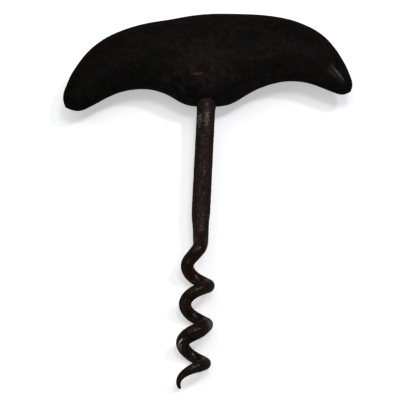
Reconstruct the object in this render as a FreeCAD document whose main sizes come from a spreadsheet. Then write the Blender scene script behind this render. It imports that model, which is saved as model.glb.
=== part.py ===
# Direct-pull corkscrew: a carved handle, a forged iron worm and the pin that locks them
# Modelled in a drawing frame: the shank enters the handle's mouth at the origin and runs
# down -Y, the handle's arms reach out along X, and Z is the handle's depth.
# Every piece then gets one common placement, which lays the corkscrew down on its side.
import FreeCAD, Part
import Sketcher
import math
import os

Vector = FreeCAD.Vector
Placement = FreeCAD.Placement
Rotation = FreeCAD.Rotation

# Driving sizes, in millimetres and degrees
sizes = {
    # handle, section in the middle
    "middle_height": 31.8,
    "middle_depth": 19.0,
    # handle, span between the centres of the two tips' sections
    "handle_span": 85.5,
    # handle, left arm: even stations from the middle outwards, with each rise from the middle's centre
    "left_rise_1": -0.4,
    "left_rise_2": 0.4,
    "left_rise_3": 0.4,
    "left_rise_4": -0.8,
    "left_rise_5": -3.6,
    "left_rise_6": -8.8,
    "left_height_1": 30.4,
    "left_height_2": 26.2,
    "left_height_3": 22.3,
    "left_height_4": 20.5,
    "left_height_5": 18.4,
    "left_height_6": 15.2,
    # handle, left tip: the fuller, drooping one
    "left_tip_reach": 41.8,
    "left_tip_length": 5.2,
    "left_tip_rise": -15.8,
    "left_tip_turn": 50.0,
    "left_tip_height": 9.2,
    "left_tip_depth": 9.0,
    "left_tip_dome": 3.7,
    # handle, right arm
    "right_rise_1": 0.7,
    "right_rise_2": 2.9,
    "right_rise_3": 4.5,
    "right_rise_4": 4.6,
    "right_rise_5": 2.7,
    "right_rise_6": -2.4,
    "right_height_1": 31.6,
    "right_height_2": 27.3,
    "right_height_3": 23.4,
    "right_height_4": 20.5,
    "right_height_5": 17.2,
    "right_height_6": 11.7,
    # handle, right tip: the leaner one
    "right_tip_length": 4.1,
    "right_tip_rise": -6.8,
    "right_tip_turn": 45.0,
    "right_tip_height": 6.5,
    "right_tip_depth": 6.5,
    "right_tip_dome": 2.2,
    # tang, shoulder and shank
    "tang_radius": 2.7,
    "tang_length": 22.0,
    "tang_chamfer": 0.6,
    "shoulder_radius": 3.15,
    "shoulder_seat": 2.0,
    "flare_length": 5.0,
    "shank_radius": 2.82,
    "shank_length": 38.5,
    "neck_radius": 2.3,
    "neck_length": 7.5,
    # worm
    "bend_length": 9.0,
    "bend_lead_in": 10.0,
    "bend_lead_out": 6.2,
    "worm_length": 94.3,
    "worm_pitch": 12.46,
    "first_turn_depth": 61.9,
    "helix_radius": 3.27,
    "helix_widening": 0.28,
    "tip_opening": 0.85,
    "tip_opening_length": 6.0,
    "wire_radius": 1.95,
    "wire_end_radius": 1.7,
    "swell": 0.8,
    "swell_place": 77.0,
    "swell_length": 2.3,
    "point_length": 5.2,
    "point_radius": 0.3,
    # cross pin
    "pin_radius": 1.25,
    "pin_height": 8.4,
    "pin_offset": 1.0,
    # fits
    "tang_clearance": 0.1,
    "tang_end_gap": 0.5,
    "pin_clearance": 0.08,
}

# How finely the lofts follow their lines
arm_stations = 6
arm_turn_power = 3
arm_depth_power = 2.5
handle_steps = 38
tip_crowding = 0.3
dome_steps = 3
dome_end_angle = 80
bend_steps = 6
worm_steps_per_turn = 14

doc = FreeCAD.newDocument("corkscrew")
sheet = doc.addObject("Spreadsheet::Sheet", "sizes")
for row, (alias, value) in enumerate(sizes.items(), start=1):
    sheet.set(f"A{row}", alias)
    sheet.set(f"B{row}", str(value))
    sheet.setAlias(f"B{row}", alias)
doc.recompute()


def size(alias):
    return float(sheet.get(alias))


# Handle blank: oval sections, square to the arms' sweep, along lines faired through the stations
def tip_reach(side):
    # From the shank's line to the centre of the tip's section
    reach = size("left_tip_reach")
    if side == "right":
        reach = size("handle_span") - reach
    return reach


def handle_line():
    # Each point holds a station's reach, its rise from the middle's centre and its height, tip to tip
    points = {}
    for side, sign in (("left", -1), ("right", 1)):
        pitch = (tip_reach(side) - size(f"{side}_tip_length")) / arm_stations
        points[side] = [
            Vector(sign * n * pitch, size(f"{side}_rise_{n}"), size(f"{side}_height_{n}"))
            for n in range(1, arm_stations + 1)
        ]
        points[side].append(
            Vector(sign * tip_reach(side), size(f"{side}_tip_rise"), size(f"{side}_tip_height"))
        )
    line = Part.BSplineCurve()
    line.interpolate(points["left"][::-1] + [Vector(0, 0, size("middle_height"))] + points["right"])
    return line


def oval(reach, rise, turn, height, depth):
    # Four quarter arcs, from the top round; turn is the section's lean from upright, in degrees.
    # The middle's centre stands half its height above the mouth.
    lean = math.radians(90 - turn)
    up = Vector(math.cos(lean), math.sin(lean), 0)
    out = Vector(0, 0, 1)
    if height >= depth:
        longer, shorter = up, out
        first = 0
    else:
        longer, shorter = out, -up
        first = 3
    ellipse = Part.Ellipse(Vector(0, 0, 0), max(height, depth) / 2, min(height, depth) / 2)
    quarter = math.pi / 2
    steps = range(first, first + 4)
    section = Part.Wire([Part.ArcOfEllipse(ellipse, n * quarter, (n + 1) * quarter).toShape() for n in steps])
    centre = Vector(reach, size("middle_height") / 2 + rise, 0)
    section.Placement = Placement(centre, Rotation(longer, shorter, up.cross(out), "ZXY"))
    return section


def arm_section(point):
    # The sections lean and thin ever faster towards the tips
    side, sign = ("left", -1) if point.x < 0 else ("right", 1)
    share = min(abs(point.x) / tip_reach(side), 1)
    turn = sign * size(f"{side}_tip_turn") * share**arm_turn_power
    tip_depth = size(f"{side}_tip_depth")
    depth = tip_depth + (size("middle_depth") - tip_depth) * (1 - share**arm_depth_power)
    return oval(point.x, point.y, turn, point.z, depth)


def dome_sections(side, sign):
    # The tip's rounded end, each section smaller as on a ball, up to nearly its pole
    turn = math.radians(size(f"{side}_tip_turn"))
    sections = []
    for n in range(1, dome_steps + 1):
        angle = math.radians(dome_end_angle) * n / dome_steps
        along = size(f"{side}_tip_dome") * math.sin(angle)
        shrink = math.cos(angle)
        sections.append(oval(
            sign * (tip_reach(side) + along * math.cos(turn)),
            size(f"{side}_tip_rise") - along * math.sin(turn),
            sign * size(f"{side}_tip_turn"),
            size(f"{side}_tip_height") * shrink,
            size(f"{side}_tip_depth") * shrink,
        ))
    return sections


def make_handle_blank():
    # The sections stand closer together towards the tips, where the arms bend most
    line = handle_line()
    span = line.LastParameter - line.FirstParameter
    sections = dome_sections("left", -1)[::-1]
    for n in range(handle_steps + 1):
        share = n / handle_steps
        crowded = (1 - math.cos(math.pi * share)) / 2
        along = share + (crowded - share) * tip_crowding
        sections.append(arm_section(line.value(line.FirstParameter + span * along)))
    sections += dome_sections("right", 1)
    blank = doc.addObject("Part::Feature", "handle_blank")
    blank.Shape = Part.makeLoft(sections, True, True)
    return blank


# Turned part of the iron: tang, shoulder, flare, shank and neck in one profile
def add_profile(sketch, corners):
    # A closed outline of straight edges; each corner is a pair of sheet rules, for X and for Y
    values = [tuple(float(sheet.evalExpression(rule)) for rule in corner) for corner in corners]
    count = len(corners)
    for n in range(count):
        start = Vector(*values[n], 0)
        end = Vector(*values[(n + 1) % count], 0)
        sketch.addGeometry(Part.LineSegment(start, end), False)
    for n in range(count):
        sketch.addConstraint(Sketcher.Constraint("Coincident", n, 2, (n + 1) % count, 1))
    for n, corner in enumerate(corners):
        for kind, axis, value, rule in zip(("DistanceX", "DistanceY"), (-2, -1), values[n], corner):
            if rule == "0":
                sketch.addConstraint(Sketcher.Constraint("PointOnObject", n, 1, axis))
            else:
                index = sketch.addConstraint(Sketcher.Constraint(kind, -1, 1, n, 1, value))
                sketch.setExpression(f"Constraints[{index}]", rule)


def make_shank():
    body = doc.addObject("PartDesign::Body", "turned_shank")
    profile = body.newObject("Sketcher::SketchObject", "shank_profile")
    plane = next(feature for feature in body.Origin.OriginFeatures if feature.Role == "XY_Plane")
    profile.AttachmentSupport = [(plane, "")]
    profile.MapMode = "FlatFace"
    tang_top = "sizes.shoulder_seat + sizes.tang_length"
    neck_end = "-(sizes.shank_length + sizes.neck_length)"
    add_profile(profile, [
        ("0", neck_end),
        ("sizes.neck_radius", neck_end),
        ("sizes.shank_radius", "-sizes.shank_length"),
        ("sizes.shank_radius", "-sizes.flare_length"),
        ("sizes.shoulder_radius", "0"),
        ("sizes.shoulder_radius", "sizes.shoulder_seat"),
        ("sizes.tang_radius", "sizes.shoulder_seat"),
        ("sizes.tang_radius", f"{tang_top} - sizes.tang_chamfer"),
        ("sizes.tang_radius - sizes.tang_chamfer", tang_top),
        ("0", tang_top),
    ])
    doc.recompute()
    turned = body.newObject("PartDesign::Revolution", "shank_revolution")
    turned.Profile = profile
    turned.ReferenceAxis = (profile, ["V_Axis"])
    turned.Angle = 360
    return body


# Forged worm: round sections square to the wire, along one bend and a widening helix
def helix_point(depth):
    # A point of the helix's centre line, at a depth below the handle's mouth
    length = size("worm_length")
    start = size("shank_length") + size("neck_length") + size("bend_length")
    widening = size("helix_widening") * (depth - start) / (length - start)
    into_opening = max(depth - length + size("tip_opening_length"), 0) / size("tip_opening_length")
    radius = size("helix_radius") + widening + size("tip_opening") * into_opening**2
    angle = 2 * math.pi * (depth - size("first_turn_depth")) / size("worm_pitch")
    return Vector(radius * math.cos(angle), -depth, radius * math.sin(angle))


def helix_direction(depth):
    step = 0.01
    return (helix_point(depth + step) - helix_point(depth - step)) / (2 * step)


def wire_radius(depth):
    # The wire draws down through the bend, thins to the end, swells once and is ground to a point
    length = size("worm_length")
    bend_start = size("shank_length") + size("neck_length")
    bend_end = bend_start + size("bend_length")
    if depth < bend_end:
        share = (depth - bend_start) / (bend_end - bend_start)
        radius = size("neck_radius") + (size("wire_radius") - size("neck_radius")) * share
    else:
        share = (depth - bend_end) / (length - bend_end)
        radius = size("wire_radius") + (size("wire_end_radius") - size("wire_radius")) * share
    radius += size("swell") * math.exp(-((depth - size("swell_place")) / size("swell_length")) ** 2)
    ground = max(depth - length + size("point_length"), 0) / size("point_length")
    return radius * (1 - ground) + size("point_radius") * ground


def worm_stations():
    # Centre, direction and wire radius of every section, from the neck to the point
    bend_start = size("shank_length") + size("neck_length")
    bend_end = bend_start + size("bend_length")
    down = Vector(0, -1, 0)
    top = down * bend_start
    foot = helix_point(bend_end)
    bend = Part.BezierCurve()
    bend.setPoles([
        top,
        top + down * (size("bend_lead_in") / 3),
        foot - helix_direction(bend_end) * (size("bend_lead_out") / 3),
        foot,
    ])
    stations = []
    for n in range(bend_steps):
        point = bend.value(n / bend_steps)
        stations.append((point, bend.tangent(n / bend_steps)[0], wire_radius(-point.y)))
    coil = size("worm_length") - bend_end
    coil_steps = math.ceil(coil / size("worm_pitch") * worm_steps_per_turn)
    for n in range(coil_steps + 1):
        depth = bend_end + coil * n / coil_steps
        stations.append((helix_point(depth), helix_direction(depth).normalize(), wire_radius(depth)))
    return stations


def make_helix():
    # Each section's start is carried on from the one before, so that the loft doesn't twist
    sections = []
    across = Vector(1, 0, 0)
    for point, direction, radius in worm_stations():
        across = (across - direction * across.dot(direction)).normalize()
        circle = Part.makeCircle(radius)
        circle.Placement = Placement(point, Rotation(across, direction.cross(across), direction, "ZXY"))
        sections.append(Part.Wire([circle]))
    helix = doc.addObject("Part::Feature", "forged_helix")
    helix.Shape = Part.makeLoft(sections, True, True)
    return helix


# Bores and the pin
def add_cylinder(name, radius_rule, length_rule, position_rules, axis):
    # A cylinder bound to the sheet: it starts at the position and runs along the axis
    cylinder = doc.addObject("Part::Cylinder", name)
    cylinder.Placement = Placement(Vector(0, 0, 0), Rotation(Vector(0, 0, 1), axis))
    cylinder.setExpression("Radius", radius_rule)
    cylinder.setExpression("Height", length_rule)
    for coordinate, rule in zip("xyz", position_rules):
        cylinder.setExpression(f".Placement.Base.{coordinate}", rule)
    return cylinder


def add_cut(name, base, tool):
    cut = doc.addObject("Part::Cut", name)
    cut.Base = base
    cut.Tool = tool
    return cut


def make_tools():
    up = Vector(0, 1, 0)
    through = Vector(0, 0, 1)
    pin_place = ("-sizes.pin_offset", "sizes.pin_height", "-sizes.middle_depth")
    pin_length = "2 * sizes.middle_depth"
    seat_radius = "sizes.shoulder_radius + sizes.tang_clearance"
    bore_radius = "sizes.tang_radius + sizes.tang_clearance"
    bore_length = "sizes.tang_length + sizes.tang_end_gap"
    seat_place = ("0", "-sizes.shoulder_seat", "0")
    bore_place = ("0", "sizes.shoulder_seat", "0")
    seat = add_cylinder("shoulder_bore", seat_radius, "2 * sizes.shoulder_seat", seat_place, up)
    bore = add_cylinder("tang_bore", bore_radius, bore_length, bore_place, up)
    hole = add_cylinder("pin_hole", "sizes.pin_radius + sizes.pin_clearance", pin_length, pin_place, through)
    rod = add_cylinder("pin_rod", "sizes.pin_radius", pin_length, pin_place, through)
    return seat, bore, hole, rod


def make_handle(blank, seat, bore, hole):
    cutters = doc.addObject("Part::MultiFuse", "handle_bores")
    cutters.Shapes = [seat, bore, hole]
    return add_cut("handle", blank, cutters)


def make_worm(shank, helix, hole):
    iron = doc.addObject("Part::Fuse", "undrilled_worm")
    iron.Base = shank
    iron.Tool = helix
    return add_cut("worm", iron, hole)


def make_pin(rod, blank):
    # Both ends are filed flush with the handle's rounded faces
    pin = doc.addObject("Part::Common", "cross_pin")
    pin.Base = rod
    pin.Tool = blank
    return pin


# Lying pose: the handle's belly and the lowest turn of the worm touch the ground
def lowest_turn():
    point, direction, radius = min(worm_stations(), key=lambda station: station[0].z - station[2])
    return Vector(0, point.y, point.z - radius)


def lying_placement(parts):
    belly = Vector(0, size("middle_height") / 2, -size("middle_depth") / 2)
    coil = lowest_turn()
    tilt = Rotation(Vector(1, 0, 0), math.degrees(math.atan2(coil.z - belly.z, belly.y - coil.y)))
    whole = Part.makeCompound([part.Shape for part in parts])
    whole.Placement = Placement(Vector(0, 0, 0), tilt)
    box = whole.optimalBoundingBox(False, False)
    shift = Vector(-box.Center.x, -box.Center.y, -box.ZMin)
    return Placement(shift, tilt)


def check(thing):
    if "Invalid" in thing.State or "Error" in thing.State:
        raise RuntimeError(f"{thing.Name} failed to build")


blank = make_handle_blank()
shank = make_shank()
helix = make_helix()
seat, bore, hole, rod = make_tools()
handle = make_handle(blank, seat, bore, hole)
worm = make_worm(shank, helix, hole)
pin = make_pin(rod, blank)
parts = [handle, worm, pin]
doc.recompute()

lying = lying_placement(parts)
for part in parts:
    part.Label = part.Name
    part.Placement = lying
doc.recompute()

for thing in doc.Objects:
    check(thing)
for part in parts:
    if part.Shape.isNull() or not part.Shape.isValid() or len(part.Shape.Solids) != 1:
        raise RuntimeError(f"{part.Label} is not one valid solid")

os.makedirs("parts", exist_ok=True)
for part in parts:
    part.Shape.exportStep(f"parts/{part.Label}.step")
    box = part.Shape.optimalBoundingBox(False, False)
    print(f"{part.Label}: volume {part.Shape.Volume:.1f}, x {box.XMin:.2f} to {box.XMax:.2f},"
          f" y {box.YMin:.2f} to {box.YMax:.2f}, z {box.ZMin:.2f} to {box.ZMax:.2f}")
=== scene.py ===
# corkscrew lying on a pale table: carved dark handle, forged iron worm, rusty cross pin
import math

import bmesh
import bpy
import numpy as np
from mathutils import Matrix, Vector, noise


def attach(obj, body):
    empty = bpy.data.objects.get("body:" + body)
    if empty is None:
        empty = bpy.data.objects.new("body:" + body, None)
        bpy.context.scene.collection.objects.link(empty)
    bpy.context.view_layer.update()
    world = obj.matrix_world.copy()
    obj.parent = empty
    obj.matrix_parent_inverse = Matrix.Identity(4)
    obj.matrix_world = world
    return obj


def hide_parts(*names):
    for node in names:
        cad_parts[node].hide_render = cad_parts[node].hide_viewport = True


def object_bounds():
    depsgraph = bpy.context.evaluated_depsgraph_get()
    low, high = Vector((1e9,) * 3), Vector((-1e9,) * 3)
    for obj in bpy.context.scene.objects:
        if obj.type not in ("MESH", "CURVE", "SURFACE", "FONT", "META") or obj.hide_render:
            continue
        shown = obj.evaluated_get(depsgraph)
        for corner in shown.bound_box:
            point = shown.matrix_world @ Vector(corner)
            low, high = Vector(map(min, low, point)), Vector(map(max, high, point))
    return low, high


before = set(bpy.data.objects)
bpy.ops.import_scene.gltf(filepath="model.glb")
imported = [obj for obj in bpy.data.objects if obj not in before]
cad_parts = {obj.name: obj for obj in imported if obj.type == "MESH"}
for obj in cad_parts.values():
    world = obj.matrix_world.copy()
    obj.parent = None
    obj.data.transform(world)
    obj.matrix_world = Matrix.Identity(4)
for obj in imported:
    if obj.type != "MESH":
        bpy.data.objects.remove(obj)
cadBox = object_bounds()
scene = bpy.context.scene
mm = 0.001

# pieces are drawn in millimetres: shank down -Y from the handle's mouth, arms along X, depth along Z
# lying turns and shifts that drawing onto the table, and keeps it just inside the solids' own box
lying = {"tilt": 2.4483, "shift": (-0.2177, 30.9609, 8.8413), "margin": 0.005}
layDown = Matrix.Translation(Vector(lying["shift"])) @ Matrix.Rotation(math.radians(lying["tilt"]), 4, "X")


def layMeshDown(mesh):
    mesh.transform(Matrix.Scale(mm, 4) @ layDown)
    margin = lying["margin"] * mm
    low, high = np.array(cadBox[0]) + margin, np.array(cadBox[1]) - margin
    points = np.empty(len(mesh.vertices) * 3, np.float32)
    mesh.vertices.foreach_get("co", points)
    points = np.clip(points.reshape(-1, 3), low, high)
    mesh.vertices.foreach_set("co", points.astype(np.float32).ravel())
    mesh.update()


def newPiece(name, mesh):
    piece = bpy.data.objects.new(name, mesh)
    scene.collection.objects.link(piece)
    return piece


def shadeSmooth(mesh, sharpAngle):
    mesh.polygons.foreach_set("use_smooth", [True] * len(mesh.polygons))
    mesh.update()
    mesh.set_sharp_from_angle(angle=math.radians(sharpAngle))


def joinRings(shape, lower, upper):
    # a band of faces between two rings of as many points
    for k in range(len(lower)):
        after = (k + 1) % len(lower)
        shape.faces.new((lower[k], lower[after], upper[after], upper[k]))


def closeRing(shape, ring, tip):
    # a fan of faces from a ring to its tip
    for k in range(len(ring)):
        shape.faces.new((ring[k], ring[(k + 1) % len(ring)], tip))


def meshFrom(shape, name):
    mesh = bpy.data.meshes.new(name)
    shape.to_mesh(mesh)
    shape.free()
    return mesh


def wobble(angle, level, amount, pace):
    # a ring's reach, a little out of round
    return 1 + amount * noise.noise(Vector((math.cos(angle), math.sin(angle), level)) * pace)


class Wiring:
    # a small hand for wiring nodes, of materials and of geometry
    def __init__(self, tree):
        self.tree = tree

    def add(self, kind, settings=None, inputs=None):
        made = self.tree.nodes.new(kind)
        for name, value in (settings or {}).items():
            setattr(made, name, value)
        for key, value in (inputs or {}).items():
            self.plug(made.inputs[key], value)
        return made

    def plug(self, socket, value):
        if isinstance(value, bpy.types.NodeSocket):
            self.tree.links.new(value, socket)
        else:
            socket.default_value = value

    def math(self, operation, a, b=0.0):
        return self.add("ShaderNodeMath", {"operation": operation}, {0: a, 1: b}).outputs[0]

    def plus(self, total, *more):
        for value in more:
            total = self.math("ADD", total, value)
        return total

    def times(self, product, *more):
        for value in more:
            product = self.math("MULTIPLY", product, value)
        return product

    def minus(self, a, b):
        return self.math("SUBTRACT", a, b)

    def over(self, a, b):
        return self.math("DIVIDE", a, b)

    def larger(self, a, b):
        return self.math("MAXIMUM", a, b)

    def ramp(self, value, low, high, start=0.0, end=1.0, smooth=False):
        kind = "SMOOTHSTEP" if smooth else "LINEAR"
        inputs = {0: value, 1: low, 2: high, 3: start, 4: end}
        return self.add("ShaderNodeMapRange", {"interpolation_type": kind}, inputs).outputs[0]

    def spread(self, pattern, start, end):
        # nearly all of a noise lies between 0.3 and 0.7
        return self.ramp(pattern, 0.3, 0.7, start, end)

    def hump(self, value, centre, width):
        # 1 at the centre, falling off as a bell on both sides
        away = self.over(self.minus(value, centre), width)
        return self.math("EXPONENT", self.times(away, away, -1.0))

    def vector(self, operation, a, b):
        return self.add("ShaderNodeVectorMath", {"operation": operation}, {0: a, 1: b}).outputs[0]

    def scaled(self, vector, factor):
        inputs = {0: vector, "Scale": factor}
        return self.add("ShaderNodeVectorMath", {"operation": "SCALE"}, inputs).outputs[0]

    def length(self, vector):
        return self.add("ShaderNodeVectorMath", {"operation": "LENGTH"}, {0: vector}).outputs["Value"]

    def noise(self, where, scale=1.0, detail=2.0, roughness=0.5, distortion=0.0):
        inputs = {"Vector": where, "Scale": scale, "Detail": detail, "Roughness": roughness,
                  "Distortion": distortion}
        return self.add("ShaderNodeTexNoise", inputs=inputs).outputs[0]

    def cells(self, where, scale):
        inputs = {"Vector": where, "Scale": scale}
        return self.add("ShaderNodeTexVoronoi", inputs=inputs).outputs["Distance"]

    def mixed(self, factor, a, b):
        # numbers
        return self.add("ShaderNodeMix", {"data_type": "FLOAT"}, {0: factor, 2: a, 3: b}).outputs[0]

    def blend(self, factor, a, b):
        # colours
        return self.add("ShaderNodeMix", {"data_type": "RGBA"}, {0: factor, 6: a, 7: b}).outputs[2]


def startMaterial(name):
    made = bpy.data.materials.new(name)
    made.use_nodes = True
    wiring = Wiring(made.node_tree)
    shader = made.node_tree.nodes["Principled BSDF"]
    # object coordinates in millimetres, so that every scale below is per millimetre
    place = wiring.scaled(wiring.add("ShaderNodeTexCoord").outputs["Object"], 1 / mm)
    return made, wiring, shader, place


def finishMaterial(wiring, shader, look, colour, rough, height):
    wiring.plug(shader.inputs["Base Color"], colour)
    wiring.plug(shader.inputs["Roughness"], rough)
    shader.inputs["Specular IOR Level"].default_value = look["specular"]
    inputs = {"Strength": look["bump"], "Distance": look["bumpDepth"] * mm, "Height": height}
    wiring.plug(shader.inputs["Normal"], wiring.add("ShaderNodeBump", inputs=inputs).outputs[0])


def ownSpace(wiring, place, size, turn, centre=(0, 0, 0)):
    # a space whose unit is size millimetres along each axis, turned about the vertical
    inputs = {"Vector": place, "Location": centre, "Rotation": (0, 0, math.radians(turn)), "Scale": size}
    return wiring.add("ShaderNodeMapping", {"vector_type": "TEXTURE"}, inputs).outputs[0]


def clouds(wiring, place, size=None, turn=0.0, **pattern):
    # noise, drawn out along the axes where it has a size of its own
    return wiring.noise(ownSpace(wiring, place, size, turn) if size else place, **pattern)


# marks of one kind are ovals, each with its centre on the table, its half lengths and its turn
# ragged says how far their edges wander, and at what size; broken is the range that breaks them up
# a range of two numbers gives 0 at the first and 1 at the second, and two more say what else it gives
markEdge = {"fade": (1.15, 0.55), "detail": 4.0, "roughness": 0.65}


def maskOf(wiring, place, marks):
    # 1 inside the ovals, fading over a ragged edge
    reachOut, raggedSize = marks["ragged"]
    rags = wiring.noise(place, 1 / raggedSize, markEdge["detail"], markEdge["roughness"])
    edge = wiring.spread(rags, -reachOut, reachOut)
    mask = None
    for centre, size, turn in marks["ovals"]:
        reach = wiring.length(ownSpace(wiring, place, size, turn, centre))
        oval = wiring.ramp(wiring.plus(reach, edge), *markEdge["fade"], smooth=True)
        mask = oval if mask is None else wiring.larger(mask, oval)
    return mask


def lay(wiring, colour, marks, mask, pattern=None):
    # marks over the colour, broken up by a pattern where one is given
    if pattern is not None:
        mask = wiring.times(mask, wiring.ramp(pattern, *marks["broken"]))
    return wiring.blend(wiring.times(mask, marks["share"]), colour, marks["colour"])


handleLook = {
    # cool and brown wood, the lower edges cooler and the left arm browner, and greyed in clouds
    "cool": (0.0088, 0.0083, 0.0084, 1), "brown": (0.0180, 0.0112, 0.0087, 1), "brownFrom": (0.44, 0.56),
    "hue": {"size": (8.0, 5.0, 5.0), "detail": 7.0, "roughness": 0.78, "distortion": 0.6},
    "lowerHue": (35.0, 46.0, -0.08, 0.03), "leftHue": (-42.0, -14.0, 0.08, 0.0),
    "grey": (0.0175, 0.0150, 0.0135, 1), "greyFrom": (0.46, 0.64, 0.0, 0.70),
    "greying": {"size": (7.0, 4.0, 4.0), "turn": 8, "detail": 7.0, "roughness": 0.8, "distortion": 0.3},
    # hands and use have worn it, and a painted sheen of the overhead light pales it, round the pin and
    # along the right arm
    "wearAndSheen": {"colour": (0.030, 0.0222, 0.0178, 1), "share": 1.0, "ragged": (0.45, 3.0),
             "broken": (0.32, 0.66, 0.25, 0.95), "ovals": [((-1.5, 41.5, 18.0), (10.5, 8.5, 9.0), 0)]},
    "wearAndSheenStreaks": {"colour": (0.030, 0.0222, 0.0178, 1), "share": 0.55, "ragged": (0.8, 1.4),
                "ovals": [((17.5, 45.0, 17.4), (6.0, 0.7, 2.5), 18),
                          ((26.0, 49.0, 17.4), (4.5, 1.8, 3.0), -12)]},
    "reddened": {"colour": (0.0185, 0.0088, 0.0064, 1), "share": 0.5, "ragged": (0.7, 2.0),
                 "ovals": [((19.0, 57.3, 17.1), (9.0, 1.7, 4.0), -4),
                           ((27.5, 53.5, 17.0), (4.5, 1.2, 3.0), -38)]},
    # rust has bled from the pin into the wood
    "rusted": {"colour": (0.0185, 0.0088, 0.0064, 1), "share": 0.65, "ragged": (0.5, 1.0),
               "ovals": [((-1.6, 39.5, 17.8), (2.4, 2.0, 2.8), 0)]},
    # fibres, fine grain and mottling, and both arms darker than the middle with painted shade
    "fibres": {"size": (1.6, 0.9, 0.9), "turn": 25, "detail": 5.0, "roughness": 0.75, "distortion": 0.8},
    "grain": {"size": (0.50, 0.48, 0.48), "detail": 2.0, "roughness": 0.7},
    "mottling": {"size": (2.4, 1.7, 1.7), "turn": -30, "detail": 4.0, "roughness": 0.65},
    "fibreTone": (0.66, 1.32), "grainTone": (0.64, 1.36), "mottlingTone": (0.50, 1.48),
    "leftPaintedShade": (-42.0, -14.0, 0.52, 1.0), "rightPaintedShade": (12.0, 28.0, 1.0, 0.84),
    # dust specks in some places, and hair scratches of three turns and lengths
    "pale": (0.050, 0.044, 0.038, 1), "speckScale": 0.75, "speckReach": (0.16, 0.07), "speckShare": 0.30,
    "dusty": {"scale": 0.2, "detail": 2.0}, "dustyFrom": (0.50, 0.62),
    "scratches": ((20, 5.0), (-52, 7.0), (78, 4.0)), "scratchWidth": (0.22, 0.5), "scratchShare": 0.40,
    "scratch": {"detail": 1.0, "roughness": 0.4}, "scratchFrom": (0.72, 0.79),
    # fresh wood in the chip beside the pin
    "chip": {"colour": (0.200, 0.105, 0.045, 1), "share": 1.0, "ragged": (0.95, 0.5),
             "broken": (0.40, 0.64, 0.06, 0.74), "ovals": [((-3.35, 37.4, 16.9), (1.9, 0.5, 1.2), 5)]},
    "splinters": {"scale": 1.9, "detail": 3.0, "roughness": 0.6},
    # a satin surface, sleek in two places above the left arch and polished on the right tip
    "roughness": (0.54, 0.70), "roughening": {"scale": 0.4, "detail": 5.0, "roughness": 0.65},
    "sleek": {"roughness": 0.19, "ragged": (0.35, 2.0),
              "ovals": [((-13.6, 36.4, 13.8), (2.6, 1.6, 2.5), -20),
                        ((-9.2, 33.8, 13.0), (3.0, 1.8, 2.5), -38)]},
    "polished": {"roughness": 0.215, "ragged": (0.12, 3.0),
                 "ovals": [((41.0, 42.1, 13.4), (4.4, 3.2, 4.5), -54)]},
    "specular": 0.08, "bump": 0.35, "bumpDepth": 0.15, "polishedRelief": 0.06,
    "fibreRelief": 0.6, "grainRelief": 0.5, "scratchRelief": 0.4, "chipRelief": 0.8,
}


def makeHandleMaterial(look):
    made, wiring, shader, place = startMaterial("worn_dark_handle")
    ways = wiring.add("ShaderNodeSeparateXYZ", inputs={0: place}).outputs
    hue = wiring.plus(clouds(wiring, place, **look["hue"]), wiring.ramp(ways["Y"], *look["lowerHue"]),
                      wiring.ramp(ways["X"], *look["leftHue"]))
    colour = wiring.blend(wiring.ramp(hue, *look["brownFrom"], smooth=True), look["cool"], look["brown"])
    greying = clouds(wiring, place, **look["greying"])
    colour = wiring.blend(wiring.ramp(greying, *look["greyFrom"]), colour, look["grey"])
    # painted sheen: the pale zone round the pin and the streaks on the right arm stand in for the overhead
    # light's broad reflection
    colour = lay(wiring, colour, look["wearAndSheen"], maskOf(wiring, place, look["wearAndSheen"]), greying)
    for kind in ("wearAndSheenStreaks", "reddened", "rusted"):
        colour = lay(wiring, colour, look[kind], maskOf(wiring, place, look[kind]))
    fibres = clouds(wiring, place, **look["fibres"])
    grain = clouds(wiring, place, **look["grain"])
    # the last two factors are painted shade, darkening both arms against the lit middle
    tone = wiring.times(
        wiring.spread(fibres, *look["fibreTone"]), wiring.spread(grain, *look["grainTone"]),
        wiring.spread(clouds(wiring, place, **look["mottling"]), *look["mottlingTone"]),
        wiring.ramp(ways["X"], *look["leftPaintedShade"]), wiring.ramp(ways["X"], *look["rightPaintedShade"]),
    )
    colour = wiring.scaled(colour, tone)

    specks = wiring.ramp(wiring.cells(place, look["speckScale"]), *look["speckReach"])
    dusty = wiring.ramp(clouds(wiring, place, **look["dusty"]), *look["dustyFrom"])
    scratches = 0.0
    for turn, size in look["scratches"]:
        lines = clouds(wiring, place, (size, *look["scratchWidth"]), turn, **look["scratch"])
        scratches = wiring.larger(scratches, wiring.ramp(lines, *look["scratchFrom"]))
    marks = wiring.larger(wiring.times(specks, dusty, look["speckShare"]),
                          wiring.times(scratches, look["scratchShare"]))
    colour = wiring.blend(marks, colour, look["pale"])
    chip = maskOf(wiring, place, look["chip"])
    colour = lay(wiring, colour, look["chip"], chip, clouds(wiring, place, **look["splinters"]))

    rough = wiring.spread(clouds(wiring, place, **look["roughening"]), *look["roughness"])
    rough = wiring.mixed(maskOf(wiring, place, look["sleek"]), rough, look["sleek"]["roughness"])
    polished = maskOf(wiring, place, look["polished"])
    rough = wiring.mixed(polished, rough, look["polished"]["roughness"])
    height = wiring.plus(wiring.times(fibres, look["fibreRelief"]),
                         wiring.times(grain, look["grainRelief"]))
    height = wiring.minus(height, wiring.times(scratches, look["scratchRelief"]))
    height = wiring.minus(height, wiring.times(chip, look["chipRelief"]))
    height = wiring.times(height, wiring.ramp(polished, 0.0, 1.0, 1.0, look["polishedRelief"]))
    finishMaterial(wiring, shader, look, colour, rough, height)
    return made


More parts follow.
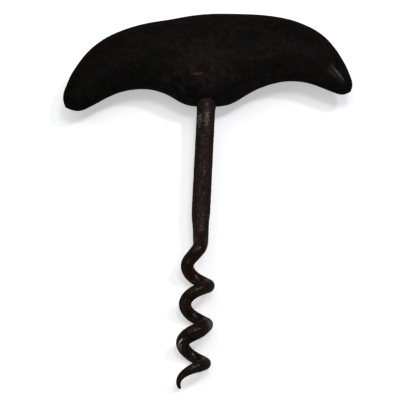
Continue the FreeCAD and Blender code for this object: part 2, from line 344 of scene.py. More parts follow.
ironLook = {
    # dark and brown iron, and a duller brown on the lower turns
    "dark": (0.0125, 0.0078, 0.0062, 1), "brown": (0.0350, 0.0180, 0.0118, 1), "brownFrom": (0.36, 0.60),
    "browning": {"size": (1.6, 3.2, 1.6), "detail": 6.0, "roughness": 0.7},
    "dull": (0.0180, 0.0130, 0.0092, 1), "dullFrom": (-37.0, -45.0, 0.0, 0.6),
    # red and ochre rust
    "rusting": {"scale": 0.36, "detail": 6.0, "roughness": 0.7, "distortion": 0.4},
    "rustFrom": (0.50, 0.66), "rustShare": 0.55,
    "red": {"colour": (0.042, 0.0160, 0.0098, 1), "share": 0.85, "ragged": (0.5, 1.6),
            "ovals": [((0.5, 31.5, 11.0), (4.0, 1.0, 5.0), 0), ((-0.5, -26.5, 7.5), (4.2, 5.0, 6.0), 0),
                      ((1.5, -37.5, 7.0), (3.5, 3.0, 6.0), 0), ((-1.5, -13.5, 9.0), (2.5, 4.0, 4.0), 0)]},
    "ochre": {"colour": (0.060, 0.029, 0.0115, 1), "share": 0.8, "ragged": (0.6, 0.9),
              "ovals": [((-3.1, -38.0, 7.5), (1.8, 2.6, 2.6), 0),
                        ((-2.6, -24.5, 9.0), (1.0, 1.3, 1.6), 0)]},
    # pits keep dark, but corks have rubbed the worm evener than the shank
    "pitScale": 1.7, "pitReach": (0.05, 0.36), "pitTone": (0.62, 1.08),
    "fine": {"scale": 2.3, "detail": 4.0, "roughness": 0.72}, "fineTone": (0.62, 1.45),
    "rubbedFrom": (-10.0, -16.0), "rubbedEvenness": 0.65,
    # rubbed grey at the shank's top, and pale there and on the lower turns; the grey and pale ovals along
    # the shank's top line are painted highlights
    "grey": {"colour": (0.16, 0.140, 0.125, 1), "share": 0.85, "ragged": (0.7, 1.0), "broken": (0.46, 0.60),
             "ovals": [((-2.1, 24.0, 10.6), (0.8, 2.6, 1.4), 0), ((0.4, 24.2, 11.6), (0.9, 4.2, 1.3), 0)]},
    "pale": {"colour": (0.34, 0.315, 0.27, 1), "share": 0.65, "ragged": (0.7, 0.7), "broken": (0.36, 0.62),
             "ovals": [((4.5, -44.5, 8.7), (1.4, 1.8, 2.2), 0), ((-4.6, -51.2, 6.5), (0.9, 1.6, 1.8), 0),
                       ((-2.2, 24.2, 10.4), (0.6, 2.2, 1.4), 0), ((0.35, 24.4, 11.6), (0.75, 2.8, 1.4), 0),
                       ((-0.5, -54.5, 8.0), (1.0, 1.3, 2.0), 0)]},
    # small facets where the rust has come off, crowded into a painted glint band along the shank's top line
    # where the overhead lamp shines in them
    "bare": (0.68, 0.60, 0.51, 1),
    "facets": {"scale": 2.6, "detail": 3.0, "roughness": 0.6}, "facetFrom": (0.605, 0.685),
    "facetClouds": {"scale": 0.5, "detail": 3.0}, "facetCloudsFrom": (0.42, 0.56),
    "glintBandPlace": 0.1, "glintBandWidth": 1.3, "glintBandShare": (0.0, 0.9, 0.12, 0.85),
    # rubbing has taken the facets off the worm, but fewer of them off these places
    "kept": {"ragged": (0.5, 1.5), "ovals": [((-2.5, -54.0, 6.0), (4.0, 5.0, 6.0), 0),
                                             ((2.0, -58.0, 8.0), (4.0, 3.5, 6.0), 0)]},
    "takenOff": (0.92, 0.35),
    # one bare notch, its glint painted in as a bright, mostly unmetallic colour
    "notchAndGlint": {"colour": (0.90, 0.80, 0.48, 1), "share": 1.0, "ragged": (0.4, 0.6),
              "ovals": [((-4.1, -50.2, 8.1), (0.30, 1.15, 1.6), -55)]},
    "metallic": 0.9, "notchGlintDullness": 0.6,
    # the shank is rough but for three worn places, and the worm is smooth
    "unevenness": {"scale": 1.1, "detail": 5.0, "roughness": 0.7},
    "roughness": (0.30, 0.66), "wormRoughness": (0.15, 0.24), "facetRoughness": 0.18,
    "smooth": {"ragged": (0.5, 0.8), "ovals": [((0.25, 18.6, 11.9), (0.6, 1.0, 1.5), 0),
                                               ((0.2, 11.0, 12.0), (0.6, 0.8, 1.5), 0),
                                               ((0.1, -0.6, 12.2), (0.8, 2.3, 2.0), 0)]},
    "relief": {"scale": 2.4, "detail": 6.0, "roughness": 0.65}, "pitRelief": 0.5, "smoothRelief": 0.08,
    "specular": 0.27, "bump": 0.9, "bumpDepth": 0.22,
}


def makeIronMaterial(look):
    made, wiring, shader, place = startMaterial("rusty_forged_iron")
    ways = wiring.add("ShaderNodeSeparateXYZ", inputs={0: place}).outputs
    browning = wiring.ramp(clouds(wiring, place, **look["browning"]), *look["brownFrom"], smooth=True)
    colour = wiring.blend(browning, look["dark"], look["brown"])
    colour = wiring.blend(wiring.ramp(ways["Y"], *look["dullFrom"]), colour, look["dull"])
    rust = wiring.ramp(clouds(wiring, place, **look["rusting"]), *look["rustFrom"], smooth=True)
    red = wiring.times(maskOf(wiring, place, look["red"]), look["red"]["share"])
    red = wiring.larger(wiring.times(rust, look["rustShare"]), red)
    colour = wiring.blend(red, colour, look["red"]["colour"])
    colour = lay(wiring, colour, look["ochre"], maskOf(wiring, place, look["ochre"]))
    rubbed = wiring.ramp(ways["Y"], *look["rubbedFrom"])
    pits = wiring.ramp(wiring.cells(place, look["pitScale"]), *look["pitReach"])
    fine = clouds(wiring, place, **look["fine"])
    tone = wiring.times(wiring.ramp(pits, 0.0, 1.0, *look["pitTone"]),
                        wiring.spread(fine, *look["fineTone"]))
    tone = wiring.mixed(wiring.times(rubbed, look["rubbedEvenness"]), tone, 1.0)
    colour = wiring.scaled(colour, tone)
    # along the shank's top line these grey and pale marks are painted highlights
    for kind in ("grey", "pale"):
        colour = lay(wiring, colour, look[kind], maskOf(wiring, place, look[kind]), fine)

    # painted glints: bare facets are crowded along the shank's top line, where the overhead lamp shines
    glintBand = wiring.hump(ways["X"], look["glintBandPlace"], look["glintBandWidth"])
    takenOff = wiring.ramp(maskOf(wiring, place, look["kept"]), 0.0, 1.0, *look["takenOff"])
    facets = wiring.times(
        wiring.ramp(clouds(wiring, place, **look["facets"]), *look["facetFrom"]),
        wiring.ramp(clouds(wiring, place, **look["facetClouds"]), *look["facetCloudsFrom"]),
        wiring.ramp(glintBand, *look["glintBandShare"]), wiring.minus(1.0, wiring.times(rubbed, takenOff)),
    )
    # painted highlight: the notch's glint is laid in as bright colour
    notchAndGlint = maskOf(wiring, place, look["notchAndGlint"])
    colour = lay(wiring, wiring.blend(facets, colour, look["bare"]), look["notchAndGlint"], notchAndGlint)
    bare = wiring.larger(facets, notchAndGlint)
    metal = wiring.times(wiring.minus(bare, wiring.times(notchAndGlint, look["notchGlintDullness"])), look["metallic"])
    wiring.plug(shader.inputs["Metallic"], metal)

    unevenness = clouds(wiring, place, **look["unevenness"])
    smooth = wiring.larger(rubbed, maskOf(wiring, place, look["smooth"]))
    rough = wiring.mixed(smooth, wiring.spread(unevenness, *look["roughness"]),
                         wiring.spread(unevenness, *look["wormRoughness"]))
    rough = wiring.mixed(bare, rough, look["facetRoughness"])
    height = wiring.plus(clouds(wiring, place, **look["relief"]), wiring.times(pits, look["pitRelief"]))
    height = wiring.times(height, wiring.ramp(smooth, 0.0, 1.0, 1.0, look["smoothRelief"]))
    finishMaterial(wiring, shader, look, colour, rough, height)
    return made


pinLook = {
    "dark": (0.0135, 0.0070, 0.0056, 1), "rust": (0.0300, 0.0140, 0.0098, 1), "rustFrom": (0.38, 0.62),
    "rusting": {"scale": 1.5, "detail": 6.0, "roughness": 0.7},
    "roughness": (0.5, 0.8), "specular": 0.08, "bump": 0.9, "bumpDepth": 0.15,
}


def makePinMaterial(look):
    made, wiring, shader, place = startMaterial("rusty_pin")
    rusting = clouds(wiring, place, **look["rusting"])
    colour = wiring.blend(wiring.ramp(rusting, *look["rustFrom"]), look["dark"], look["rust"])
    finishMaterial(wiring, shader, look, colour, wiring.spread(rusting, *look["roughness"]), rusting)
    return made


handleMaterial = makeHandleMaterial(handleLook)
ironMaterial = makeIronMaterial(ironLook)
pinMaterial = makePinMaterial(pinLook)
print("materials ready")


# handle: oval sections along a line faired through stations, carved and worn
handle = {
    "middle": (31.95, 18.82),  # height and depth of the middle section
    "left": {
        "rises": (-0.43, 0.22, 0.29, -0.93, -3.62, -9.06),
        "heights": (30.82, 26.21, 22.74, 20.77, 18.96, 15.39),
        "tipReach": 41.71, "tipLength": 5.12, "tipRise": -16.53, "tipTurn": 47.5,
        "tipSize": (9.0, 7.8), "dome": 3.95,
    },
    "right": {
        "rises": (0.57, 2.74, 4.32, 4.42, 2.53, -2.57),
        "heights": (31.77, 27.5, 23.64, 20.72, 17.57, 11.99),
        "tipReach": 43.66, "tipLength": 4.09, "tipRise": -7.31, "tipTurn": 42.03,
        "tipSize": (6.45, 5.8), "dome": 2.65,
    },
    "turnPower": 3.06, "depthPower": 2.5,  # how late the sections lean over and flatten on their way out
    "rings": 290, "around": 224, "crowding": 0.3,  # crowding brings the rings together towards the tips
    "domeRings": 12, "poleGap": 0.6, "domeReach": 0.985,
    "flowPasses": 40, "flowInto": 34,  # how far the domes' joints with the arms are faired
    "waviness": 0.10, "wavinessSize": 9.0, "dents": 0.035, "dentSize": 2.4,
    "chip": (-3.3, 6.7), "chipSize": (1.9, 0.42), "chipDepth": 0.22, "chipRags": 0.8, "chipRagScale": 1.7,
    # two flats filed round the mouth: their depth, where they end, and their width, place and thickness
    "noseFlat": 0.25, "noseUpTo": 3, "noseWidth": 4.5, "noseOff": 3.0, "noseThick": 1.6,
    "mouth": (3.2, 2.2), "pinHole": (1.29, 1.2),  # radius and depth of the bores that show
    "mouthLead": 4, "holeLead": 3, "boreSides": 64, "boreWobble": (0.02, 1.7),
    "pinPlace": (-1.0, 8.4), "sharpAngle": 40,
}


def fairedLine(points):
    # cubic spline through the points with chord-length steps
    # each end has the slope of the cubic through its four points
    points = np.array(points, float)
    steps = np.linalg.norm(np.diff(points, axis=0), axis=1)
    knots = np.concatenate([[0], np.cumsum(steps)])
    count = len(points)
    ends = []
    for pick, knot in ((slice(0, 4), knots[0]), (slice(-4, None), knots[-1])):
        cubics = [np.polyfit(knots[pick], points[pick, k], 3) for k in range(3)]
        ends.append([np.polyval(np.polyder(cubic), knot) for cubic in cubics])
    matrix = np.zeros((count, count))
    target = np.zeros((count, 3))
    matrix[0, 0] = matrix[-1, -1] = 1
    target[0], target[-1] = ends
    for n in range(1, count - 1):
        before, after = steps[n - 1], steps[n]
        matrix[n, n - 1:n + 2] = after, 2 * (before + after), before
        into, out = points[n] - points[n - 1], points[n + 1] - points[n]
        target[n] = 3 * (before / after * out + after / before * into)
    slopes = np.linalg.solve(matrix, target)

    def at(share):
        run = share * knots[-1]
        n = min(int(np.searchsorted(knots, run, "right")) - 1, count - 2)
        t = (run - knots[n]) / steps[n]
        return (
            (2 * t**3 - 3 * t**2 + 1) * points[n] + (t**3 - 2 * t**2 + t) * steps[n] * slopes[n]
            + (3 * t**2 - 2 * t**3) * points[n + 1] + (t**3 - t**2) * steps[n] * slopes[n + 1]
        )
    return at


def domeSections(arm, sign):
    turn = math.radians(arm["tipTurn"])
    height, depth = arm["tipSize"]
    dome = []
    for n in range(1, handle["domeRings"] + 1):
        angle = math.pi / 2 * n / (handle["domeRings"] + handle["poleGap"])
        along = arm["dome"] * math.sin(angle) * handle["domeReach"]
        dome.append((
            sign * (arm["tipReach"] + along * math.cos(turn)), arm["tipRise"] - along * math.sin(turn),
            sign * arm["tipTurn"], height * math.cos(angle), depth * math.cos(angle),
        ))
    return dome


def handleSections():
    # reach, rise, lean from upright, height and depth of each ring, from the left pole to the right one
    middleHeight, middleDepth = handle["middle"]
    points = [(0, 0, middleHeight)]
    for side, sign in (("left", -1), ("right", 1)):
        arm = handle[side]
        pitch = (arm["tipReach"] - arm["tipLength"]) / len(arm["rises"])
        stations = []
        for n, (rise, height) in enumerate(zip(arm["rises"], arm["heights"]), start=1):
            stations.append((sign * n * pitch, rise, height))
        stations.append((sign * arm["tipReach"], arm["tipRise"], arm["tipSize"][0]))
        points = stations[::-1] + points if sign < 0 else points + stations
    line = fairedLine(points)
    sections = []
    for n in range(handle["rings"] + 1):
        share = n / handle["rings"]
        share += ((1 - math.cos(math.pi * share)) / 2 - share) * handle["crowding"]
        reach, rise, height = line(share)
        side, sign = ("left", -1) if reach < 0 else ("right", 1)
        arm = handle[side]
        out = min(abs(reach) / arm["tipReach"], 1)
        tipDepth = arm["tipSize"][1]
        depth = tipDepth + (middleDepth - tipDepth) * (1 - out**handle["depthPower"])
        sections.append((reach, rise, sign * arm["tipTurn"] * out**handle["turnPower"], height, depth))
    sections = domeSections(handle["left"], -1)[::-1] + sections + domeSections(handle["right"], 1)
    # the arms flow on into the domes without a crease
    rings, last = np.array(sections), len(sections) - 1
    faired = handle["domeRings"] + handle["flowInto"]
    for _ in range(handle["flowPasses"]):
        for low, high in ((1, faired), (last - faired, last - 1)):
            before, here, after = rings[low - 1:high], rings[low:high + 1], rings[low + 1:high + 2]
            rings[low:high + 1] = (before + 2 * here + after) / 4
    return rings


def wearAt(spot):
    # how far the carver and the years have taken a point inwards, as much out as in but for the chip
    inwards = handle["waviness"] * noise.noise(spot / handle["wavinessSize"])
    inwards += handle["dents"] * noise.noise(spot / handle["dentSize"])
    if spot.z > 0:
        off = [(spot[n] - handle["chip"][n]) / handle["chipSize"][n] for n in (0, 1)]
        rag = 1 + handle["chipRags"] * noise.noise(spot * handle["chipRagScale"])
        inwards += handle["chipDepth"] * rag * math.exp(-(off[0] ** 4) - off[1] ** 2)
    return inwards


def makeHandle():
    angles = np.linspace(0, 2 * math.pi, handle["around"], endpoint=False)
    shape = bmesh.new()
    rows, poles = [], []
    for reach, rise, turn, height, depth in handleSections():
        lean = math.radians(90 - turn)
        up = np.array([math.cos(lean), math.sin(lean), 0])
        centre = np.array([reach, handle["middle"][0] / 2 + rise, 0])
        ring = centre + np.outer(np.cos(angles) * height / 2, up)
        ring[:, 2] += np.sin(angles) * depth / 2
        rows.append([shape.verts.new(point) for point in ring])
        poles.append(ring.mean(axis=0))
    for lower, upper in zip(rows, rows[1:]):
        joinRings(shape, lower, upper)
    for end in (0, -1):
        closeRing(shape, rows[end], shape.verts.new(poles[end]))
    bmesh.ops.recalc_face_normals(shape, faces=shape.faces)
    shape.normal_update()
    for vertex in shape.verts:
        spot = vertex.co.copy()
        vertex.co -= vertex.normal * wearAt(spot)
        if spot.y < handle["noseUpTo"]:
            off = (abs(spot.z) - handle["noseOff"]) / handle["noseThick"]
            vertex.co.y -= handle["noseFlat"] * math.exp(-((spot.x / handle["noseWidth"]) ** 2) - off**2)
    return meshFrom(shape, "handle_blank")


def faceHeight(y):
    # the blank's face over the shank's plane, in the middle section
    middleHeight, middleDepth = handle["middle"]
    return middleDepth / 2 * math.sqrt(1 - ((y - middleHeight / 2) / (middleHeight / 2)) ** 2)


def makeBore(radius, start, end):
    # a cutter from one drawing point to another
    shape = bmesh.new()
    across = Vector((1, 0, 0))
    other = (Vector(end) - Vector(start)).normalized().cross(across)
    rings = []
    for point in (start, end):
        ring = []
        for k in range(handle["boreSides"]):
            angle = 2 * math.pi * k / handle["boreSides"]
            reach = radius * wobble(angle, radius, *handle["boreWobble"])
            place = Vector(point) + across * reach * math.cos(angle) + other * reach * math.sin(angle)
            ring.append(shape.verts.new(place))
        rings.append(ring)
    joinRings(shape, *rings)
    for ring in rings:
        shape.faces.new(ring)
    bmesh.ops.recalc_face_normals(shape, faces=shape.faces)
    return newPiece("bore", meshFrom(shape, "bore"))


def boreHandle(mesh):
    blank = newPiece("handle_blank", mesh)
    mouthRadius, mouthDepth = handle["mouth"]
    holeRadius, holeDepth = handle["pinHole"]
    x, y = handle["pinPlace"]
    start, end = faceHeight(y) + handle["holeLead"], faceHeight(y) - holeDepth
    bores = [makeBore(mouthRadius, (0, -handle["mouthLead"], 0), (0, mouthDepth, 0))]
    for sign in (1, -1):
        bores.append(makeBore(holeRadius, (x, y, sign * start), (x, y, sign * end)))
    for bore in bores:
        cut = blank.modifiers.new("bore", "BOOLEAN")
        cut.operation = "DIFFERENCE"
        cut.solver = "EXACT"
        cut.object = bore
    bpy.context.view_layer.update()
    done = bpy.data.meshes.new_from_object(blank.evaluated_get(bpy.context.evaluated_depsgraph_get()))
    for thing in [blank, *bores]:
        bpy.data.objects.remove(thing)
    return done


handleMesh = boreHandle(makeHandle())
layMeshDown(handleMesh)
shadeSmooth(handleMesh, handle["sharpAngle"])
handleMesh.materials.clear()
handleMesh.materials.append(handleMaterial)
handlePiece = newPiece("carved_handle", handleMesh)
print("handle carved:", len(handleMesh.polygons), "faces")


# worm: tang, flared shank, bend, helix and ground point, swept by geometry nodes
worm = {
    "Tang End": -24.0, "Seat": -2.0, "Tang Radius": 2.7, "Shoulder Radius": 3.13, "Flare Length": 2.8,
    "Shank Radius": 2.86, "Shank Length": 36.5, "Neck Radius": 2.42, "Bend Start": 44.2, "Bend End": 54.2,
    "Sway": 0.28, "Sway Place": 45.0, "Sway Length": 3.5,
    "Worm Length": 94.3, "Pitch": 12.486, "First Turn": 61.887, "Helix Radius": 3.33, "Widening": 0.19,
    "Tip Opening": 0.78, "Opening Length": 10.0, "Wire Radius": 1.99, "Wire End Radius": 1.66,
    "Swell": 0.60, "Swell Place": 78.3, "Swell Length": 2.7, "Swell Drop": 0.85, "Drop Length": 2.3,
    "Point Length": 5.1, "Point Radius": 0.42, "Point Rounding": 0.25,
    "Unevenness": 0.16, "Pits": 0.10, "Worm Pits": 0.35, "Spared Length": 4.0, "Spared Pits": 0.1,
    # the line's points, and the shares of them that end at the shoulder and at the bend
    "Steps": 900, "Shoulder": -1.0, "Tang Share": 0.04, "Shank Share": 0.38, "Sides": 64,
}
bendLead = {"in": 16.87, "out": 10.53}
wormSurface = {
    "uneven": {"scale": 0.32, "detail": 2.0, "roughness": 0.5}, "unevenMiddle": 0.5,
    "pits": {"scale": 1.5, "detail": 4.0, "roughness": 0.6}, "pitsFrom": (0.42, 0.72), "pitsMiddle": 0.3,
    "blunt": 1.002,  # a little over 1, so that the very tip keeps a face
    "weld": 0.0005,  # joins the end faces to the sweep
}


def helixPoint(depth):
    into = max(depth - worm["Worm Length"] + worm["Opening Length"], 0) / worm["Opening Length"]
    share = (depth - worm["Bend End"]) / (worm["Worm Length"] - worm["Bend End"])
    radius = worm["Helix Radius"] + worm["Widening"] * share + worm["Tip Opening"] * into**2
    drop = worm["Swell Drop"] * math.exp(-(((depth - worm["Swell Place"]) / worm["Drop Length"]) ** 2))
    angle = 2 * math.pi * (depth - worm["First Turn"] - drop) / worm["Pitch"]
    return Vector((radius * math.cos(angle), -depth, radius * math.sin(angle)))


def bendPoints():
    # the bend's four control points, from the neck to the helix's start
    top = Vector((0, -worm["Bend Start"], 0))
    foot = helixPoint(worm["Bend End"])
    step = 0.01
    slope = (helixPoint(worm["Bend End"] + step) - foot) / step
    return {"Bend 1": top, "Bend 2": top - Vector((0, bendLead["in"] / 3, 0)),
            "Bend 3": foot - slope * (bendLead["out"] / 3), "Bend 4": foot}


def lineWithDepths(wiring, given):
    # a plain line whose points know their depth below the mouth; most of them go to the helix
    line = wiring.add("GeometryNodeCurvePrimitiveLine").outputs[0]
    inputs = {"Curve": line, "Count": given["Steps"]}
    line = wiring.add("GeometryNodeResampleCurve", inputs=inputs).outputs[0]
    share = wiring.add("GeometryNodeSplineParameter").outputs["Factor"]
    tangPart = wiring.ramp(share, 0.0, given["Tang Share"], given["Tang End"], given["Shoulder"])
    shankPart = wiring.times(wiring.ramp(share, given["Tang Share"], given["Shank Share"]),
                             wiring.minus(given["Bend Start"], given["Shoulder"]))
    coilPart = wiring.times(wiring.ramp(share, given["Shank Share"], 1.0),
                            wiring.minus(given["Worm Length"], given["Bend Start"]))
    settings = {"data_type": "FLOAT", "domain": "POINT"}
    inputs = {"Geometry": line, "Name": "depth", "Value": wiring.plus(tangPart, shankPart, coilPart)}
    line = wiring.add("GeometryNodeStoreNamedAttribute", settings, inputs).outputs[0]
    settings, inputs = {"data_type": "FLOAT"}, {"Name": "depth"}
    return line, wiring.add("GeometryNodeInputNamedAttribute", settings, inputs).outputs[0]


def bentPath(wiring, given, line, depth):
    # straight part, bend and helix add up, each clamped to its own stretch
    above = wiring.larger(wiring.minus(given["Bend Start"], depth), 0.0)
    sway = wiring.times(wiring.hump(depth, given["Sway Place"], given["Sway Length"]), given["Sway"])
    path = wiring.add("ShaderNodeCombineXYZ", inputs={"X": sway, "Y": above}).outputs[0]
    t = wiring.ramp(depth, given["Bend Start"], given["Bend End"])
    rest = wiring.minus(1.0, t)
    weights = (
        wiring.math("POWER", rest, 3.0), wiring.times(wiring.math("POWER", rest, 2.0), t, 3.0),
        wiring.times(wiring.math("POWER", t, 2.0), rest, 3.0), wiring.math("POWER", t, 3.0),
    )
    for n, weight in enumerate(weights, start=1):
        path = wiring.vector("ADD", path, wiring.scaled(given[f"Bend {n}"], weight))
    below = wiring.larger(depth, given["Bend End"])
    along = wiring.over(wiring.minus(below, given["Bend End"]),
                        wiring.minus(given["Worm Length"], given["Bend End"]))
    openingStart = wiring.minus(given["Worm Length"], given["Opening Length"])
    opening = wiring.over(wiring.minus(below, openingStart), given["Opening Length"])
    opening = wiring.math("POWER", wiring.larger(opening, 0.0), 2.0)
    radius = wiring.plus(given["Helix Radius"], wiring.times(given["Widening"], along),
                         wiring.times(given["Tip Opening"], opening))
    # the swollen turn hangs a little lower
    drop = wiring.times(wiring.hump(below, given["Swell Place"], given["Drop Length"]), given["Swell Drop"])
    turned = wiring.minus(wiring.minus(below, given["First Turn"]), drop)
    angle = wiring.times(wiring.over(turned, given["Pitch"]), 2 * math.pi)
    coil = wiring.add("ShaderNodeCombineXYZ", inputs={
        "X": wiring.times(radius, wiring.math("COSINE", angle)), "Y": wiring.times(below, -1.0),
        "Z": wiring.times(radius, wiring.math("SINE", angle)),
    }).outputs[0]
    path = wiring.vector("ADD", path, wiring.vector("SUBTRACT", coil, given["Bend 4"]))
    return wiring.add("GeometryNodeSetPosition", inputs={"Geometry": line, "Position": path}).outputs[0]


def wireThickness(wiring, given, depth):
    # flare, neck, drawn wire, one swollen turn, ground point
    thick = wiring.ramp(depth, 0.0, given["Flare Length"], given["Shoulder Radius"], given["Shank Radius"],
                        smooth=True)
    tang = wiring.math("LESS_THAN", depth, given["Seat"])
    thinner = wiring.minus(given["Shoulder Radius"], given["Tang Radius"])
    thick = wiring.minus(thick, wiring.times(tang, thinner))
    for start, end, first, last in (
        ("Shank Length", "Bend Start", "Shank Radius", "Neck Radius"),
        ("Bend Start", "Bend End", "Neck Radius", "Wire Radius"),
        ("Bend End", "Worm Length", "Wire Radius", "Wire End Radius"),
    ):
        reached = wiring.ramp(depth, given[start], given[end], smooth=start == "Shank Length")
        thick = wiring.minus(thick, wiring.times(reached, wiring.minus(given[first], given[last])))
    swollen = wiring.hump(depth, given["Swell Place"], given["Swell Length"])
    thick = wiring.plus(thick, wiring.times(given["Swell"], swollen))
    pointStart = wiring.minus(given["Worm Length"], given["Point Length"])
    ground = wiring.ramp(depth, pointStart, given["Worm Length"])
    thick = wiring.plus(wiring.times(thick, wiring.minus(1.0, ground)),
                        wiring.times(given["Point Radius"], ground))
    roundStart = wiring.minus(given["Worm Length"], given["Point Rounding"])
    rounding = wiring.math("POWER", wiring.ramp(depth, roundStart, given["Worm Length"]), 2.0)
    return wiring.times(thick, wiring.math("SQRT", wiring.minus(wormSurface["blunt"], rounding)))


def rustAway(wiring, given, swept, depth):
    # hammered unevenness and rust pits, fewer of them on the worm and hardly any on its point
    spot = wiring.add("GeometryNodeInputPosition").outputs[0]
    normal = wiring.add("GeometryNodeInputNormal").outputs[0]
    uneven = wiring.minus(wiring.noise(spot, **wormSurface["uneven"]), wormSurface["unevenMiddle"])
    uneven = wiring.times(uneven, given["Unevenness"])
    pits = wiring.ramp(wiring.noise(spot, **wormSurface["pits"]), *wormSurface["pitsFrom"])
    pits = wiring.minus(pits, wormSurface["pitsMiddle"])
    rubbed = wiring.ramp(depth, given["Bend Start"], given["Bend End"], 1.0, given["Worm Pits"])
    pits = wiring.times(pits, rubbed, given["Pits"])
    sparedFrom = wiring.minus(given["Worm Length"], given["Spared Length"])
    spared = wiring.ramp(depth, sparedFrom, given["Worm Length"], 1.0, given["Spared Pits"])
    sink = wiring.times(wiring.plus(uneven, pits), spared, -1.0)
    inputs = {"Geometry": swept, "Offset": wiring.scaled(normal, sink)}
    return wiring.add("GeometryNodeSetPosition", inputs=inputs).outputs[0]


def buildWormTree():
    tree = bpy.data.node_groups.new("forged_worm", "GeometryNodeTree")
    face = tree.interface
    face.new_socket("Geometry", in_out="INPUT", socket_type="NodeSocketGeometry")
    face.new_socket("Geometry", in_out="OUTPUT", socket_type="NodeSocketGeometry")
    for name, value in worm.items():
        kind = "NodeSocketInt" if isinstance(value, int) else "NodeSocketFloat"
        face.new_socket(name, in_out="INPUT", socket_type=kind).default_value = value
    for name, value in bendPoints().items():
        face.new_socket(name, in_out="INPUT", socket_type="NodeSocketVector").default_value = value
    face.new_socket("Iron", in_out="INPUT", socket_type="NodeSocketMaterial")
    wiring = Wiring(tree)
    given = wiring.add("NodeGroupInput").outputs
    line, depth = lineWithDepths(wiring, given)
    path = bentPath(wiring, given, line, depth)
    outline = {"Resolution": given["Sides"], "Radius": 1.0}
    outline = wiring.add("GeometryNodeCurvePrimitiveCircle", inputs=outline).outputs[0]
    swept = wiring.add("GeometryNodeCurveToMesh", inputs={
        "Curve": path, "Profile Curve": outline, "Scale": wireThickness(wiring, given, depth),
        "Fill Caps": True,
    }).outputs[0]
    done = rustAway(wiring, given, swept, depth)
    done = wiring.add("GeometryNodeSetShadeSmooth", inputs={"Geometry": done}).outputs[0]
    done = wiring.add("GeometryNodeRealizeInstances", inputs={"Geometry": done}).outputs[0]
    inputs = {"Geometry": done, "Material": given["Iron"]}
    done = wiring.add("GeometryNodeSetMaterial", inputs=inputs).outputs[0]
    wiring.add("NodeGroupOutput", inputs={0: done})
    return tree


def makeWorm():
    tree = buildWormTree()
    holder = newPiece("worm_holder", bpy.data.meshes.new("worm_holder"))
    modifier = holder.modifiers.new("forged_worm", "NODES")
    modifier.node_group = tree
    sockets = {item.name: item.identifier for item in tree.interface.items_tree if item.in_out == "INPUT"}
    for name, value in [*worm.items(), *bendPoints().items()]:
        modifier[sockets[name]] = tuple(value) if isinstance(value, Vector) else value
    modifier[sockets["Iron"]] = ironMaterial
    bpy.context.view_layer.update()
    mesh = bpy.data.meshes.new_from_object(holder.evaluated_get(bpy.context.evaluated_depsgraph_get()))
    bpy.data.objects.remove(holder)
    shape = bmesh.new()
    shape.from_mesh(mesh)
    bmesh.ops.remove_doubles(shape, verts=shape.verts, dist=wormSurface["weld"])
    bmesh.ops.recalc_face_normals(shape, faces=shape.faces)
    shape.to_mesh(mesh)
    shape.free()
    return mesh


wormMesh = makeWorm()
layMeshDown(wormMesh)
wormPiece = newPiece("forged_worm", wormMesh)
print("worm forged:", len(wormMesh.polygons), "faces")


# cross pin: both ends filed to the handle's curve, then rusted and rounded at the rim
crossPin = {
    "radius": 1.28, "sink": 0.03, "rimDrop": 0.10, "rimPower": 6, "wobble": (0.03, 2.5),
    "crumble": 0.06, "crumbleSize": 0.6, "endsApart": 3,  # endsApart keeps the two ends' lumps unlike
    "sides": 48, "capRings": 9, "sharpAngle": 50,
}


def makePin():
    x, y = handle["pinPlace"]
    sides, capRings = crossPin["sides"], crossPin["capRings"]
    shape = bmesh.new()
    rims = []
    for sign in (1, -1):
        rings = []
        for n in range(capRings, 0, -1):
            out = n / capRings
            ring = []
            for k in range(sides):
                angle = 2 * math.pi * k / sides
                reach = crossPin["radius"] * n / capRings * wobble(angle, sign, *crossPin["wobble"])
                px, py = x + reach * math.cos(angle), y + reach * math.sin(angle)
                spot = Vector((px, py, sign * crossPin["endsApart"])) / crossPin["crumbleSize"]
                lump = noise.noise(spot) * crossPin["crumble"]
                drop = crossPin["sink"] + crossPin["rimDrop"] * out ** crossPin["rimPower"]
                ring.append(shape.verts.new((px, py, sign * (faceHeight(py) - drop + lump))))
            rings.append(ring)
        centre = shape.verts.new((x, y, sign * (faceHeight(y) - crossPin["sink"])))
        for outer, inner in zip(rings, rings[1:]):
            joinRings(shape, outer, inner)
        closeRing(shape, rings[-1], centre)
        rims.append(rings[0])
    joinRings(shape, *rims)
    bmesh.ops.recalc_face_normals(shape, faces=shape.faces)
    return meshFrom(shape, "cross_pin")


pinMesh = makePin()
layMeshDown(pinMesh)
shadeSmooth(pinMesh, crossPin["sharpAngle"])
pinMesh.materials.append(pinMaterial)
pinPiece = newPiece("rusty_pin", pinMesh)
print("pin filed:", len(pinMesh.polygons), "faces")

for piece, node, slot in (
    (handlePiece, "handle", "handle"), (wormPiece, "worm", "iron"), (pinPiece, "cross_pin", "pin"),
):
    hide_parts(node)
    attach(piece, "root")


# table, light and camera; a lamp hangs in its direction from the middle of the table and looks at it
stage = {
    "tableSize": 3.0, "tableColour": (0.86, 0.86, 0.86, 1), "tableRoughness": 0.9, "tableGlow": 0.50,
    "worldColour": (0.98, 0.985, 1.0, 1), "worldLight": 0.22, "contrast": 0.80,
    "lamps": {
        "ceiling": {"direction": (-0.34, 0.22, 1.0), "distance": 1.0, "size": (1.0, 1.0), "power": 2.6},
        "overhead_softbox": {"direction": (0.12, 0.02, 1.0), "distance": 1.0, "size": (0.2, 0.2),
                             "power": 1.5},
        "window_back_right": {"direction": (0.45, 0.21, 0.87), "distance": 1.1, "size": (0.12, 0.15),
                              "power": 2.2, "colour": (0.94, 0.94, 1.0)},
        "window_front_left": {"direction": (-0.55, -0.80, 0.24), "distance": 1.2, "size": (0.25, 0.16),
                              "power": 0.6, "colour": (0.75, 0.85, 1.0)},
    },
}


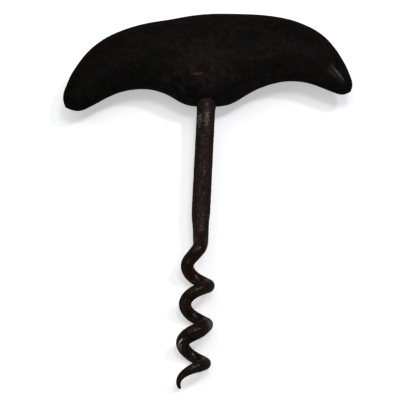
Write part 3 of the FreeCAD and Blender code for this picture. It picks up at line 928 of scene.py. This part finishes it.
def makeTable():
    half = stage["tableSize"] / 2
    mesh = bpy.data.meshes.new("table")
    corners = [(-half, -half, 0), (half, -half, 0), (half, half, 0), (-half, half, 0)]
    mesh.from_pydata(corners, [], [(0, 1, 2, 3)])
    top = newPiece("table", mesh)
    made = bpy.data.materials.new("white_table")
    made.use_nodes = True
    shader = made.node_tree.nodes["Principled BSDF"]
    shader.inputs["Base Color"].default_value = stage["tableColour"]
    shader.inputs["Roughness"].default_value = stage["tableRoughness"]
    shader.inputs["Specular IOR Level"].default_value = 0.0
    shader.inputs["Emission Color"].default_value = (1, 1, 1, 1)
    shader.inputs["Emission Strength"].default_value = stage["tableGlow"]
    mesh.materials.append(made)
    top.visible_glossy = False  # the lamps shine in the iron, and the white table doesn't


def makeLamp(name, direction, distance, size, power, colour=(1, 1, 1)):
    data = bpy.data.lights.new(name, "AREA")
    data.shape = "RECTANGLE"
    data.size, data.size_y = size
    data.energy = power
    data.color = colour
    lamp = bpy.data.objects.new(name, data)
    away = Vector(direction).normalized()
    lamp.location = away * distance
    lamp.rotation_euler = (-away).to_track_quat("-Z", "Y").to_euler()
    scene.collection.objects.link(lamp)


makeTable()
for name, lamp in stage["lamps"].items():
    makeLamp(name, **lamp)
world = bpy.data.worlds.new("soft_room")
world.use_nodes = True
world.node_tree.nodes["Background"].inputs["Color"].default_value = stage["worldColour"]
world.node_tree.nodes["Background"].inputs["Strength"].default_value = stage["worldLight"]
scene.world = world
scene.view_settings.view_transform = "Standard"
scene.view_settings.gamma = stage["contrast"]

# the photograph's view, from above the tip's side, rolled a little, and half a pixel off
view = {
    "place": (0.002718, -0.273722, 0.544118), "right": (0.998848, 0.042932, 0.021426),
    "up": (-0.047982, 0.893731, 0.446031), "look": (0.0, 0.446545, -0.894761),
    "lens": 166.3, "sensor": 36.0, "pixel": 0.000309, "clip": (0.05, 20),
}
cameraData = bpy.data.cameras.new("photo_camera")
cameraData.sensor_width = view["sensor"]
cameraData.lens = view["lens"]
cameraData.clip_start, cameraData.clip_end = view["clip"]
camera = bpy.data.objects.new("photo_camera", cameraData)
turn = Matrix([view["right"], view["up"], [-c for c in view["look"]]]).transposed().to_4x4()
nudge = (Vector(view["up"]) - Vector(view["right"])) * view["pixel"] / 2
camera.matrix_world = Matrix.Translation(Vector(view["place"]) + nudge) @ turn
scene.collection.objects.link(camera)
scene.camera = camera
print("table, light and camera ready")
